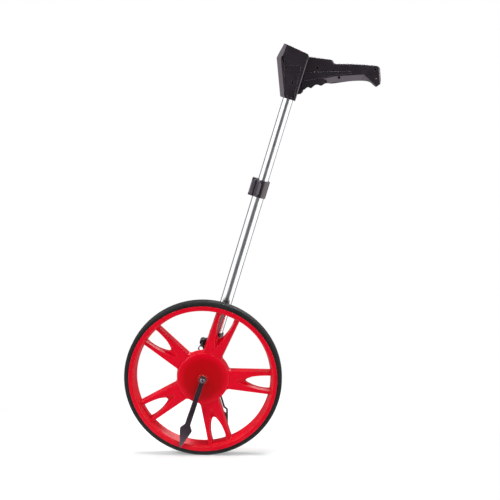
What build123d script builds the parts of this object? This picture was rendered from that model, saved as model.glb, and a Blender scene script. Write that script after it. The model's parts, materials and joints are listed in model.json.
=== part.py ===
from build123d import *
import math
import os

os.makedirs("parts", exist_ok=True)

# Hand-held electronic measuring wheel: a one-metre-circumference spoked wheel on a
# fixed axle, a leaning telescopic pole beside it, and a display head with a grip.
# +Z up, ground at Z = 0. The origin is the point where the tyre touches the ground.
# +X points from the wheel towards the hand grip, +Y runs along the axle from the
# pointer side (front, near) to the pole side (back, far).

# ---------------------------------------------------------------- driving sizes
circumference = 1000.0
tyre_r = circumference / (2 * math.pi)
wheel_w = 30.0                         # rim width
rim_r = 150.0                          # outside of the rim flanges
seat_r = 147.2                         # floor of the tyre seat
seat_half_w = 12.5                     # half the width between the rim flanges
lip_r = 141.8                          # inside edge of the front lip
hub_r = 52.0                           # hub dome radius
spoke_count = 5
spoke_start = 68.0                     # angle of the first spoke, deg
spoke_front = 6.0                      # spoke face, in front of the wheel centre plane
spoke_back = 13.0                      # spoke back edge, behind the centre plane
bearing_od = 22.0
bearing_id = 8.0
bearing_w = 7.0
pole_y = 36.0                          # pole axis, beside the wheel
lean = 16.8                            # pole lean towards the grip, deg
lower_od, lower_id = 24.0, 22.0
upper_od, upper_id = 21.0, 19.0
# Stations along the pole, measured from the axle.
socket_bottom, socket_top = 60.0, 92.0
collar_bottom, collar_top = 380.0, 415.2
lower_top = 407.0
upper_bottom, upper_top = 232.0, 631.0
head_bottom = 584.7
head_half_w = 29.0
grip_half_w = 16.5
wire_r = 2.0
run = 0.05                             # radial clearance of running fits

half_w = wheel_w / 2
bearing_r = bearing_od / 2
axle_r = bearing_id / 2
lean_sin, lean_cos = math.sin(math.radians(lean)), math.cos(math.radians(lean))

# ---------------------------------------------------------------- planes
# Wheel face-on: local x = +X, local y = +Z, local z = -Y (towards the pointer side).
FACE = Plane(origin=(0, 0, tyre_r), x_dir=(1, 0, 0), z_dir=(0, -1, 0))
# Wheel section: local x = +Y along the axle, local y = radius upwards.
SECTION = Plane(origin=(0, 0, tyre_r), x_dir=(0, 1, 0), z_dir=(1, 0, 0))
AXLE = Axis((0, 0, tyre_r), (0, 1, 0))
# Pole: local z runs up the pole, local x is square to it towards +X, local y = +Y.
POLE = Plane(origin=(0, pole_y, tyre_r), x_dir=(lean_cos, 0, -lean_sin),
             z_dir=(lean_sin, 0, lean_cos))
# Pole side view: local x as above, local y up the pole, local z = -Y.
SIDE = Plane(origin=(0, pole_y, tyre_r), x_dir=(lean_cos, 0, -lean_sin), z_dir=(0, -1, 0))
# Upright side view with the same origin: local x = +X, local y = +Z, local z = -Y.
GRIP = Plane(origin=(0, pole_y, tyre_r), x_dir=(1, 0, 0), z_dir=(0, -1, 0))


def across_pole(x, z=0.0):
    """Plane through pole-frame (x, z): local x = +Y, local y up the pole, facing pole x."""
    return Plane(origin=POLE.from_local_coords((x, 0, z)), x_dir=(0, 1, 0),
                 z_dir=(lean_cos, 0, -lean_sin))


# ---------------------------------------------------------------- shared helpers
def save(piece, name):
    piece.part.label = name
    export_step(piece.part, f"parts/{name}.step")


def save_ring(name, plane, outer_r, inner_r, length):
    """Washer, tube or sleeve standing on a plane."""
    with BuildPart() as ring:
        with BuildSketch(plane):
            Circle(outer_r)
            Circle(inner_r, mode=Mode.SUBTRACT)
        extrude(amount=length)
    save(ring, name)


def save_rod(name, plane, place, radius, length):
    """Plain round rod centred on a place of a plane."""
    with BuildPart() as rod:
        with BuildSketch(plane):
            with Locations(place):
                Circle(radius)
        extrude(amount=length)
    save(rod, name)


def save_screws(name, plane, seat, out, places, head_r, head_height, edge_r,
                shank_r, shank_length, slot=None):
    """Screws with rounded heads resting at offset `seat` of a plane whose normal is -Y.

    out is +1 when the heads stand along the normal and -1 when they stand against it.
    slot is the length, width and depth of the cross slot.
    """
    with BuildPart() as screws:
        with BuildSketch(plane.offset(seat)):
            with Locations(*places):
                Circle(head_r)
        extrude(amount=out * head_height)
        faces_by_y = screws.faces().sort_by(Axis.Y)
        count = len(places)
        tops = faces_by_y[:count] if out > 0 else faces_by_y[-count:]
        fillet(tops.edges(), edge_r)
        if slot:
            slot_length, slot_width, slot_depth = slot
            with BuildSketch(plane.offset(seat + out * head_height)):
                with Locations(*places):
                    Rectangle(slot_length, slot_width)
                    Rectangle(slot_width, slot_length)
            extrude(amount=-out * slot_depth, mode=Mode.SUBTRACT)
        with BuildSketch(plane.offset(seat)):
            with Locations(*places):
                Circle(shank_r)
        extrude(amount=-out * shank_length)
    save(screws, name)


# ================================================================ WHEEL
# One cutter for a forked spoke: the pointed window, its bevelled mouth in the front
# face, and the moulding pocket in the back. Local x = outwards, z = to the front.
throat_depth = 3.0                     # narrowest window section, behind the centre plane
spoke_skin = 3.0                       # front wall left by the moulding pocket
cutter_back = spoke_back + 1           # cutters start 1 mm behind the spoke
with BuildPart() as spoke_cutter:
    with BuildSketch(Plane.XY.offset(spoke_front + 0.01)) as mouth:
        with BuildLine():
            ThreePointArc((64.5, 0), (100, 11.6), (138.0, 16.2))
            ThreePointArc((138.0, 16.2), (138.95, 0), (138.0, -16.2))
            ThreePointArc((138.0, -16.2), (100, -11.6), (64.5, 0))
        make_face()
        fillet(mouth.vertices().sort_by(Axis.X)[0], 1.0)
    with BuildSketch(Plane.XY.offset(-throat_depth)) as throat:
        with BuildLine():
            ThreePointArc((81.6, 0), (102, 9.9), (135.4, 13.6))
            ThreePointArc((135.4, 13.6), (136.1, 0), (135.4, -13.6))
            ThreePointArc((135.4, -13.6), (102, -9.9), (81.6, 0))
        make_face()
        fillet(throat.vertices().sort_by(Axis.X)[0], 4.6)
    loft()
    with BuildSketch(Plane.XY.offset(-throat_depth)):
        add(throat.sketch.moved(Location((0, 0, throat_depth))))
    extrude(amount=-(cutter_back - throat_depth))
    # pocket behind the spoke, leaving the walls around the window
    with BuildSketch(Plane.XY.offset(-cutter_back)):
        with BuildLine():
            Polyline((57.5, -15.6), (132.4, -19.9), (132.4, 19.9), (57.5, 15.6), close=True)
        make_face()
        with BuildLine():
            ThreePointArc((61.0, 0), (100, 14.4), (139.0, 18.9))
            Line((139.0, 18.9), (139.0, -18.9))
            ThreePointArc((139.0, -18.9), (100, -14.4), (61.0, 0))
        make_face(mode=Mode.SUBTRACT)
    extrude(amount=cutter_back + spoke_front - spoke_skin)

# One rib of the rim channel, drafted with the barrel wall.
rib_count = 30
rib_half_w = 0.9
with BuildPart() as rim_rib:
    with BuildSketch(Plane.XZ):
        Polygon((140.7, 8.7), (136.9, -14.5), (145.6, -14.5), (145.6, 8.7), align=None)
    extrude(amount=rib_half_w, both=True)

# Hub cover and its five screws, which sit halfway between the spokes.
cover_front, cover_face = 10.4, 13.0   # front and back of the cover plate along Y
post_ring_r = 43.0
post_r = 3.6
cover_screw_r = 1.1
post_angles = [spoke_start + (k + 0.5) * 360 / spoke_count for k in range(spoke_count)]
post_places = [
    Location((post_ring_r * math.cos(math.radians(angle)),
              post_ring_r * math.sin(math.radians(angle)), 0), (0, 0, angle))
    for angle in post_angles]

hub_front_web = 5.5                    # front end of the hub ribs and posts
circlip_groove = (10.0, 11.15)         # groove along Y

# Half of the spoke outline: (radius outwards, half width).
spoke_side = [(30, 19.4), (142.2, 25.7), (143.9, 13.0)]
with BuildPart(FACE) as wheel_body:
    # Hub disc and five spokes as one star outline, drafted towards the front.
    with BuildSketch(FACE.offset(-spoke_back)) as star:
        Circle(54.6)
        with PolarLocations(0, spoke_count, start_angle=spoke_start):
            Polygon(*[(x, -y) for x, y in spoke_side], (144.5, 0), *spoke_side[::-1], align=None)
        fillet([v for v in star.vertices() if 54.0 < math.hypot(v.X, v.Y) < 56.0], 6.0)
    extrude(amount=spoke_back + spoke_front, taper=7)
    fillet(wheel_body.faces().sort_by(Axis.Y)[0].outer_wire().edges(), 1.2)
    # Domed hub front with a raised ring around the axle.
    with BuildSketch(SECTION):
        with BuildLine():
            Polyline((5, 0), (-12.6, 0), (-12.6, 9.4), (-12.2, 9.9), (-11.2, 10.2))
            ThreePointArc((-11.2, 10.2), (-10.3, 31), (-8.1, 50.6))
            Polyline((-8.1, 50.6), (-7.2, 51.7), (-5.0, hub_r), (5, hub_r), (5, 0))
        make_face()
    revolve(axis=AXLE)
    # Rim: tyre seat between two flanges, drafted barrel wall, open channel at the back.
    with BuildSketch(SECTION):
        with BuildLine():
            Polyline((-half_w, lip_r), (-half_w, rim_r), (-seat_half_w, rim_r),
                     (-seat_half_w, seat_r), (seat_half_w, seat_r), (seat_half_w, rim_r),
                     (half_w, rim_r), (half_w, 144.9), (-8.5, 144.2), (-8.5, 141.9),
                     (half_w, 138.0), (half_w, 135.5), (-11.6, 140.1), (-12.4, lip_r),
                     close=True)
        make_face()
    revolve(axis=AXLE)
    # Hollow hub back with a bearing tube in the middle.
    with BuildSketch(SECTION):
        with BuildLine():
            Polyline((14, 14.2), (-7.6, 13.8))
            ThreePointArc((-7.6, 13.8), (-7.0, 31), (-5.0, 48.0))
            Polyline((-5.0, 48.0), (-3.0, 49.6), (14, 51.9), (14, 14.2))
        make_face()
    revolve(axis=AXLE, mode=Mode.SUBTRACT)
    # Ribs across the rim channel and inside the hub.
    with PolarLocations(0, rib_count, start_angle=spoke_start + 180 / rib_count):
        add(rim_rib.part)
    with BuildSketch(FACE.offset(hub_front_web)):
        with PolarLocations(31.5, 2 * spoke_count, start_angle=spoke_start + 90 / spoke_count):
            Rectangle(37.0, 1.8)
    extrude(amount=-13.0)
    # Screw posts for the hub cover.
    with BuildSketch(FACE.offset(hub_front_web)):
        with Locations(*post_places):
            Circle(post_r)
    extrude(amount=-(hub_front_web + cover_front))
    with BuildSketch(FACE.offset(-cover_front)):
        with Locations(*post_places):
            Circle(cover_screw_r)
    extrude(amount=9.0, mode=Mode.SUBTRACT)
    # Bearing bore from the back, front lip hole, circlip groove.
    with BuildSketch(SECTION):
        with BuildLine():
            Polyline((-13, 0), (-13, 6.8), (-10, 6.8), (-10, bearing_r),
                     (circlip_groove[0], bearing_r), (circlip_groove[0], 11.8),
                     (circlip_groove[1], 11.8), (circlip_groove[1], bearing_r),
                     (15, bearing_r), (15, 0), close=True)
        make_face()
    revolve(axis=AXLE, mode=Mode.SUBTRACT)
    # Windows and back pockets of the spokes.
    with PolarLocations(0, spoke_count, start_angle=spoke_start):
        add(spoke_cutter.part, mode=Mode.SUBTRACT)
save(wheel_body, "wheel_body")

# Solid rubber tyre seated between the rim flanges, with two shallow tread grooves.
groove_r = tyre_r - 0.8                # groove floor
with BuildPart() as tyre:
    with BuildSketch(SECTION):
        with BuildLine():
            Polyline((-seat_half_w, rim_r), (-seat_half_w, seat_r), (seat_half_w, seat_r),
                     (seat_half_w, rim_r), (14.0, rim_r))
            ThreePointArc((14.0, rim_r), (14.7, 153.5), (13.4, 157.2))
            ThreePointArc((13.4, 157.2), (12.4, 158.6), (10.6, tyre_r))
            Polyline((10.6, tyre_r), (5.2, tyre_r), (4.9, groove_r), (4.1, groove_r),
                     (3.8, tyre_r), (-3.8, tyre_r), (-4.1, groove_r), (-4.9, groove_r),
                     (-5.2, tyre_r), (-10.6, tyre_r))
            ThreePointArc((-10.6, tyre_r), (-12.4, 158.6), (-13.4, 157.2))
            ThreePointArc((-13.4, 157.2), (-14.7, 153.5), (-14.0, rim_r))
            Line((-14.0, rim_r), (-seat_half_w, rim_r))
        make_face()
    revolve(axis=AXLE)
save(tyre, "tyre")

# Hub back cover: an annular plate with magnet pockets in a raised ring and screw holes.
magnet_ring_r, magnet_count = 28.0, 8
magnet_r, magnet_length = 3.0, 2.1
magnet_sink = 0.1                      # magnet face below the raised ring
cover_ring_face = 14.0                 # back of the raised ring along Y
with BuildPart() as hub_back_cover:
    with BuildSketch(SECTION):
        with BuildLine():
            Polyline((cover_front, 15.0), (cover_front, 51.0), (12.6, 51.2), (cover_face, 50.6),
                     (cover_face, 33.5), (cover_ring_face, 33.0), (cover_ring_face, 22.8),
                     (cover_face, 22.2), (cover_face, 15.0), close=True)
        make_face()
    revolve(axis=AXLE)
    with BuildSketch(FACE.offset(-cover_ring_face)):
        with PolarLocations(magnet_ring_r, magnet_count):
            Circle(magnet_r)
    extrude(amount=magnet_length + magnet_sink, mode=Mode.SUBTRACT)
    with BuildSketch(FACE.offset(-cover_face)):
        with Locations(*post_places):
            Circle(1.4)
    extrude(amount=cover_face - cover_front, mode=Mode.SUBTRACT)
save(hub_back_cover, "hub_back_cover")

# Five pan-head screws holding the hub cover.
save_screws("cover_screws", FACE, seat=-cover_face, out=-1, places=post_places,
            head_r=2.6, head_height=1.6, edge_r=0.7,
            shank_r=cover_screw_r, shank_length=9.0, slot=(2.6, 0.6, 0.9))

# Disc magnets that pulse the sensor.
with BuildPart() as encoder_magnets:
    with BuildSketch(FACE.offset(magnet_sink - cover_ring_face)):
        with PolarLocations(magnet_ring_r, magnet_count):
            Circle(magnet_r)
    extrude(amount=magnet_length)
save(encoder_magnets, "encoder_magnets")

# ---------------------------------------------------------------- bearings 608
ball_d, pitch_r, ball_count = 3.97, 7.5, 7
ball_r = ball_d / 2
ball_start = 12.86                     # first ball, so that the cage seam falls between two balls
bearing_centres = (-6.5, 6.5)          # along the axle
race_edge = 0.3                        # chamfer of the ring corners
race_half_w = bearing_w / 2


def save_bearing_rings(name, shoulder_r, fit_r):
    """Ball-bearing rings with a shoulder facing the balls and a chamfered fitting face."""
    land_r = fit_r + math.copysign(race_edge, shoulder_r - fit_r)
    with BuildPart() as rings:
        for centre in bearing_centres:
            front, back = centre - race_half_w, centre + race_half_w
            with BuildSketch(SECTION):
                with BuildLine():
                    Polyline((front, shoulder_r), (front, land_r), (front + race_edge, fit_r),
                             (back - race_edge, fit_r), (back, land_r), (back, shoulder_r),
                             close=True)
                make_face()
                with Locations((centre, pitch_r)):
                    Circle(ball_r + 0.02, mode=Mode.SUBTRACT)
            revolve(axis=AXLE)
    save(rings, name)


save_bearing_rings("bearing_outer_rings", shoulder_r=9.1, fit_r=bearing_r)
save_bearing_rings("bearing_inner_rings", shoulder_r=5.9, fit_r=axle_r)

with BuildPart() as bearing_balls:
    for centre in bearing_centres:
        with Locations(FACE.offset(-centre)):
            with PolarLocations(pitch_r, ball_count, start_angle=ball_start):
                Sphere(ball_r)
save(bearing_balls, "bearing_balls")

# Moulded cages: a ring with a round pocket for each ball.
cage_inner_r, cage_outer_r = 6.6, 8.4
cage_half_w = 2.6
with BuildPart() as ball_cages:
    for centre in bearing_centres:
        front, back = centre - cage_half_w, centre + cage_half_w
        with BuildSketch(SECTION):
            with BuildLine():
                Polyline((front, cage_inner_r), (front, cage_outer_r), (back, cage_outer_r),
                         (back, cage_inner_r), close=True)
            make_face()
        revolve(axis=AXLE)
        with Locations(FACE.offset(-centre)):
            with PolarLocations(pitch_r, ball_count, start_angle=ball_start):
                Cylinder(ball_r + 0.04, 6.0, rotation=(0, 90, 0), mode=Mode.SUBTRACT)
save(ball_cages, "ball_cages")

# Distance tubes between the two bearings: one on the axle, one in the hub bore.
spacer_front = -bearing_centres[0] - race_half_w
save_ring("inner_spacer", FACE.offset(spacer_front), outer_r=5.6, inner_r=axle_r,
          length=-2 * spacer_front)
save_ring("outer_spacer", FACE.offset(spacer_front), outer_r=bearing_r, inner_r=9.4,
          length=-2 * spacer_front)

# Internal circlip behind the rear bearing, with its two plier ears.
ear_places = [(3.6, -9.6), (-3.6, -9.6)]
with BuildPart() as hub_circlip:
    with BuildSketch(FACE.offset(-(circlip_groove[0] + run))):
        Circle(11.75)
        Circle(10.0, mode=Mode.SUBTRACT)
        with BuildLine():
            Polyline((0, 0), (5, -14), (-5, -14), close=True)
        make_face(mode=Mode.SUBTRACT)
        with Locations(*ear_places):
            Circle(1.5)
        with Locations(*ear_places):
            Circle(0.6, mode=Mode.SUBTRACT)
    extrude(amount=-1.0)
save(hub_circlip, "hub_circlip")

# ================================================================ AXLE
axle_front = 22.0                      # front end, in front of the wheel centre plane
pointer_screw_r = 2.0
with BuildPart() as axle:
    with BuildSketch(SECTION):
        with BuildLine():
            Polyline((-axle_front, 0), (-axle_front, 3.6), (-21.6, axle_r), (10, axle_r),
                     (10, 6.4), (18.2, 6.4), (18.2, axle_r), (54.2, axle_r), (54.8, 3.4),
                     (54.8, 0), close=True)
        make_face()
    revolve(axis=AXLE)
    with BuildSketch(FACE.offset(axle_front)):
        Circle(pointer_screw_r)
    extrude(amount=-14, mode=Mode.SUBTRACT)
save(axle, "axle")

save_ring("front_sleeve", FACE.offset(13.0), outer_r=5.9, inner_r=axle_r, length=-3.0)
save_ring("friction_washer", FACE.offset(13.8), outer_r=7.2, inner_r=axle_r, length=-0.8)

# Start-point pointer: a long bar with a spear head, on a boss around the axle end.
pointer_lean = math.radians(18.4)      # angle of the pointer off plumb
pointer_sin, pointer_cos = math.sin(pointer_lean), math.cos(pointer_lean)
# One side of the pointer: (distance from the axle, half width).
pointer_side = [(2.0, 4.6), (98.3, 5.8), (107.3, 12.1), (110.6, 12.2), (148.6, 1.0)]
pointer_outline = (pointer_side + [(149.8, 0.0)]
                   + [(length, -width) for length, width in reversed(pointer_side)])
with BuildPart() as pointer_arrow:
    with BuildSketch(FACE.offset(21.95)):
        Circle(7.1)
    extrude(amount=-8.1)
    with BuildSketch(FACE.offset(20.6)):
        with BuildLine():
            Polyline(*[(-length * pointer_sin + width * pointer_cos,
                        -length * pointer_cos - width * pointer_sin)
                       for length, width in pointer_outline], close=True)
        make_face()
    extrude(amount=-2.4)
    fillet(pointer_arrow.faces().sort_by(Axis.Y)[0].edges(), 0.6)
    with BuildSketch(FACE.offset(23)):
        Circle(axle_r + run)
    extrude(amount=-12, mode=Mode.SUBTRACT)
save(pointer_arrow, "pointer_arrow")

washer_face = 22.7                     # front of the pointer washer
save_ring("pointer_washer", FACE.offset(washer_face), outer_r=5.4,
          inner_r=pointer_screw_r + run, length=axle_front - washer_face)

# Button-head socket screw in the end of the axle.
screw_face = 25.3                      # front of the screw head
with BuildPart() as pointer_screw:
    with BuildSketch(SECTION):
        with BuildLine():
            Polyline((-12, 0), (-12, pointer_screw_r), (-washer_face, pointer_screw_r),
                     (-washer_face, 4.5), (-23.3, 4.5))
            ThreePointArc((-23.3, 4.5), (-24.6, 3.7), (-screw_face, 2.2))
            Polyline((-screw_face, 2.2), (-screw_face, 0), (-12, 0))
        make_face()
    revolve(axis=AXLE)
    with BuildSketch(FACE.offset(screw_face)):
        RegularPolygon(2.2, 6)
    extrude(amount=-1.7, mode=Mode.SUBTRACT)
save(pointer_screw, "pointer_screw")

boss_back = 46.0                       # back of the bracket's axle boss along Y
washer_t = 1.6
save_ring("axle_washer", FACE.offset(-boss_back), outer_r=8.0, inner_r=axle_r + run,
          length=-washer_t)

with BuildPart() as axle_nut:
    with BuildSketch(FACE.offset(-(boss_back + washer_t))):
        RegularPolygon(7.5, 6)
    extrude(amount=-6.0)
    chamfer(axle_nut.faces().sort_by(Axis.Y)[-1].edges(), 0.5)
    with BuildSketch(FACE.offset(-47.0)):
        Circle(axle_r)
    extrude(amount=-8.0, mode=Mode.SUBTRACT)
save(axle_nut, "axle_nut")

# ================================================================ FRAME
# Moulded lower bracket: socket for the pole, web down to the axle boss, a side arm for
# the sensor and a boss for the kickstand wire.
stand_across, stand_up = -22.2, 63.3   # kickstand pivot in the pole frame
stand_boss_half_w = 12.0
sensor_place = (-22.0, 18.0)           # sensor centre from the axle, (x, z)
sensor_screw_place = (-25.6, 21.2)     # sensor screw from the axle, (x, z)
sensor_screw_r = 1.0
arm_back, arm_front = 6.0, 11.5        # side arm faces, in front of the pole axis
socket_screw_place = (0, 77.0)
socket_screw_r = 1.5
socket_screw_seat = 13.0               # spot face, behind the pole axis
clip_screw_up = 48.0
clip_screw_r = 1.2
web_half_w = 9.0
web_top_length = 27.2                  # straight top edge of the web, left sharp
# Lower rounded end of the web, (across, up) in the pole frame.
web_outline = [
    (-13.6, 66), (-13.6, 30), (-14.6, 0), (-12.6, -8.4), (-7.0, -13.6), (0, -15.2),
    (7.0, -13.6), (12.6, -8.4), (14.6, 0), (13.6, 30), (13.6, 66)]
with BuildPart(POLE) as frame_socket:
    with BuildSketch(SIDE.offset(-web_half_w)):
        Polygon(*web_outline, align=None)
    extrude(amount=2 * web_half_w)
    for face_index in (0, -1):
        fillet(frame_socket.faces().sort_by(Axis.Y)[face_index].edges()
               .filter_by(lambda e: abs(e.length - web_top_length) > 0.5), 2.0)
    with BuildSketch(POLE.offset(54.0)):
        Circle(14.0)
    extrude(amount=socket_top - 54.0)
    # axle boss
    with BuildSketch(FACE.offset(-18.2)):
        Circle(10.5)
    extrude(amount=18.2 - boss_back)
    # side arm with the sensor seat
    with BuildSketch(GRIP.offset(arm_back)):
        Polygon((2, 14), (-20.5, 28.5), (-29.5, 24.8), (-31.5, 16.0), (-26.5, 8.5), (-4, -8),
                align=None)
    extrude(amount=arm_front - arm_back)
    # kickstand boss and its web
    with BuildSketch(SIDE.offset(-stand_boss_half_w)):
        with Locations((stand_across, stand_up)):
            Circle(5.6)
    extrude(amount=2 * stand_boss_half_w)
    with BuildSketch(SIDE.offset(-7.0)):
        Polygon((-22.5, 58.2), (-9, 55.0), (-9, 74.0), (-22.5, 68.6), align=None)
    extrude(amount=14.0)
    # raised band around the socket mouth
    with BuildSketch(POLE.offset(86.0)):
        Circle(14.6)
        Circle(13.0, mode=Mode.SUBTRACT)
    extrude(amount=4.5)
    # pole bore, cable way, axle bore
    with BuildSketch(POLE.offset(socket_bottom)):
        Circle(lower_od / 2)
    extrude(amount=40, mode=Mode.SUBTRACT)
    with BuildSketch(POLE.offset(24.0)):
        Circle(4.0)
    extrude(amount=38, mode=Mode.SUBTRACT)
    with BuildSketch(FACE.offset(-17)):
        Circle(axle_r)
    extrude(amount=-32, mode=Mode.SUBTRACT)
    # blind bores for the ends of the kickstand wire
    for side in (-1, 1):
        with BuildSketch(SIDE.offset(side * (stand_boss_half_w + 0.5))):
            with Locations((stand_across, stand_up)):
                Circle(wire_r + run)
        extrude(amount=-side * 9.0, mode=Mode.SUBTRACT)
    # spot face and hole of the socket screw, and the holes of the sensor and clip screws
    with BuildSketch(SIDE.offset(-socket_screw_seat)):
        with Locations(socket_screw_place):
            Circle(4.0)
    extrude(amount=-4.0, mode=Mode.SUBTRACT)
    with BuildSketch(SIDE.offset(-14)):
        with Locations(socket_screw_place):
            Circle(socket_screw_r)
    extrude(amount=6.0, mode=Mode.SUBTRACT)
    with BuildSketch(GRIP.offset(13)):
        with Locations(sensor_screw_place):
            Circle(sensor_screw_r)
    extrude(amount=-9.0, mode=Mode.SUBTRACT)
    with BuildSketch(across_pole(-14.0, clip_screw_up)):
        Circle(clip_screw_r)
    extrude(amount=7.0, mode=Mode.SUBTRACT)
save(frame_socket, "frame_socket")

save_screws("socket_screw", SIDE, seat=-socket_screw_seat, out=-1, places=[socket_screw_place],
            head_r=3.0, head_height=1.8, edge_r=0.8,
            shank_r=socket_screw_r, shank_length=2.0, slot=(3.0, 0.7, 1.0))

# Sensor housing facing the magnet ring, and the sensor board inside it.
sensor_turn = -35                      # turn of the sensor in the side view, deg
with BuildPart() as sensor_cover:
    with BuildSketch(GRIP.offset(arm_front)):
        with Locations(sensor_place):
            Rectangle(15.0, 12.0, rotation=sensor_turn)
    extrude(amount=8.5)
    fillet(sensor_cover.faces().sort_by(Axis.Y)[0].edges(), 1.3)
    with BuildSketch(GRIP.offset(arm_front)):
        with Locations(sensor_place):
            Rectangle(12.0, 9.0, rotation=sensor_turn)
    extrude(amount=6.5, mode=Mode.SUBTRACT)
    # screw post
    with BuildSketch(GRIP.offset(arm_front)):
        with Locations(sensor_screw_place):
            Circle(2.2)
    extrude(amount=7.0)
    with BuildSketch(GRIP.offset(arm_front - 0.1)):
        with Locations(sensor_screw_place):
            Circle(sensor_screw_r)
    extrude(amount=6.0, mode=Mode.SUBTRACT)
save(sensor_cover, "sensor_cover")

sensor_board_back, sensor_board_t = 13.0, 1.2
with BuildPart() as sensor_board:
    with BuildSketch(GRIP.offset(sensor_board_back)):
        with Locations(sensor_place):
            Rectangle(11.2, 8.2, rotation=sensor_turn)
        with Locations(sensor_screw_place):
            Circle(2.6, mode=Mode.SUBTRACT)
    extrude(amount=sensor_board_t)
    # raised block on the front of the board
    with BuildSketch(GRIP.offset(sensor_board_back + sensor_board_t)):
        with Locations((sensor_place[0] + 1.2, sensor_place[1] - 1.0)):
            Rectangle(4.0, 3.2, rotation=sensor_turn)
    extrude(amount=1.6)
save(sensor_board, "sensor_board")

save_screws("sensor_screw", GRIP, seat=arm_back, out=-1, places=[sensor_screw_place],
            head_r=2.0, head_height=1.5, edge_r=0.6,
            shank_r=sensor_screw_r, shank_length=10.0)

# ---------------------------------------------------------------- lower tube
with BuildPart() as lower_tube:
    with BuildSketch(POLE.offset(socket_bottom)):
        Circle(lower_od / 2)
        Circle(lower_id / 2, mode=Mode.SUBTRACT)
    extrude(amount=lower_top - socket_bottom)
    # cross slots that let the top of the tube close under the clamp
    with BuildSketch(POLE.offset(379.0)):
        Rectangle(30, 2.0)
        Rectangle(2.0, 30)
    extrude(amount=29.0, mode=Mode.SUBTRACT)
    with BuildSketch(SIDE.offset(-14)):
        with Locations(socket_screw_place):
            Circle(socket_screw_r)
    extrude(amount=6.0, mode=Mode.SUBTRACT)
save(lower_tube, "lower_tube")

# Split bush between the two tubes.
bush_bottom = 376.0
with BuildPart() as collar_bush:
    with BuildSketch(POLE.offset(bush_bottom)):
        Circle(lower_id / 2)
        Circle(upper_od / 2 + run, mode=Mode.SUBTRACT)
    extrude(amount=lower_top - bush_bottom)
    with BuildSketch(POLE.offset(bush_bottom - 1)):
        with Locations((-10, 0)):
            Rectangle(6, 1.6)
    extrude(amount=33.0, mode=Mode.SUBTRACT)
save(collar_bush, "collar_bush")

# ---------------------------------------------------------------- pole clamp
clamp_across, clamp_side, clamp_up = -17.4, -11.5, 397.6   # lever pivot in the pole frame
pivot_place = (clamp_across, clamp_side)                   # seen along the pole
bolt_place = (clamp_across, clamp_up)                      # seen from the side
bolt_r = 2.5
pin_r = 1.5
pin_half_length = 12.0
nut_seat = 7.0                         # seat of the nut, behind the pole axis
with BuildPart() as clamp_collar:
    with BuildSketch(POLE.offset(collar_bottom)):
        Circle(14.3)
        Polygon((-21.8, -7.0), (-21.8, 5.4), (-20.2, 7.0), (-8, 10.5), (-8, -10.5),
                (-13.0, -7.0), align=None)
    extrude(amount=collar_top - collar_bottom)
    chamfer(clamp_collar.faces().sort_by(Axis.Z)[-1].edges(), 0.8)
    chamfer(clamp_collar.faces().sort_by(Axis.Z)[0].edges(), 0.8)
    # stepped bore: lower tube below, upper tube above
    with BuildSketch(POLE.offset(370)):
        Circle(lower_od / 2)
    extrude(amount=lower_top - 370, mode=Mode.SUBTRACT)
    with BuildSketch(POLE.offset(400)):
        Circle(upper_od / 2 + run)
    extrude(amount=20.0, mode=Mode.SUBTRACT)
    # clamping gap and bolt hole
    with BuildSketch(POLE.offset(370)):
        with Locations((-17, 0)):
            Rectangle(14, 1.4)
    extrude(amount=50.0, mode=Mode.SUBTRACT)
    with BuildSketch(SIDE.offset(-12)):
        with Locations(bolt_place):
            Circle(bolt_r)
    extrude(amount=24, mode=Mode.SUBTRACT)
    # flat seat of the nut
    with BuildSketch(SIDE.offset(-nut_seat)):
        with Locations(bolt_place):
            Circle(5.2)
    extrude(amount=-8.0, mode=Mode.SUBTRACT)
save(clamp_collar, "clamp_collar")

# Clamp bolt: plain shank towards +Y, round eye for the lever pin at the front.
eye_half_height = 3.6
with BuildPart() as clamp_bolt:
    with BuildSketch(SIDE.offset(10.0)):
        with Locations(bolt_place):
            Circle(bolt_r)
    extrude(amount=-22.4)
    with BuildSketch(POLE.offset(clamp_up - eye_half_height)):
        with Locations(pivot_place):
            Circle(3.4)
    extrude(amount=2 * eye_half_height)
    with BuildSketch(POLE.offset(clamp_up - 4)):
        with Locations(pivot_place):
            Circle(pin_r + run)
    extrude(amount=8, mode=Mode.SUBTRACT)
save(clamp_bolt, "clamp_bolt")

with BuildPart() as clamp_nut:
    with BuildSketch(SIDE.offset(-nut_seat)):
        with Locations(bolt_place):
            RegularPolygon(4.6, 6)
    extrude(amount=-4.0)
    with BuildSketch(SIDE.offset(0.1 - nut_seat)):
        with Locations(bolt_place):
            Circle(bolt_r)
    extrude(amount=-5.0, mode=Mode.SUBTRACT)
save(clamp_nut, "clamp_nut")

# Flip lever wrapping the front of the collar, with a bevelled octagonal thumb pad.
lever_bottom, lever_top = 380.8, 414.4
groove_end = 3.4                       # finger groove stops this far from both ends
slot_half_height = 3.9                 # slot for the bolt eye
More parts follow.
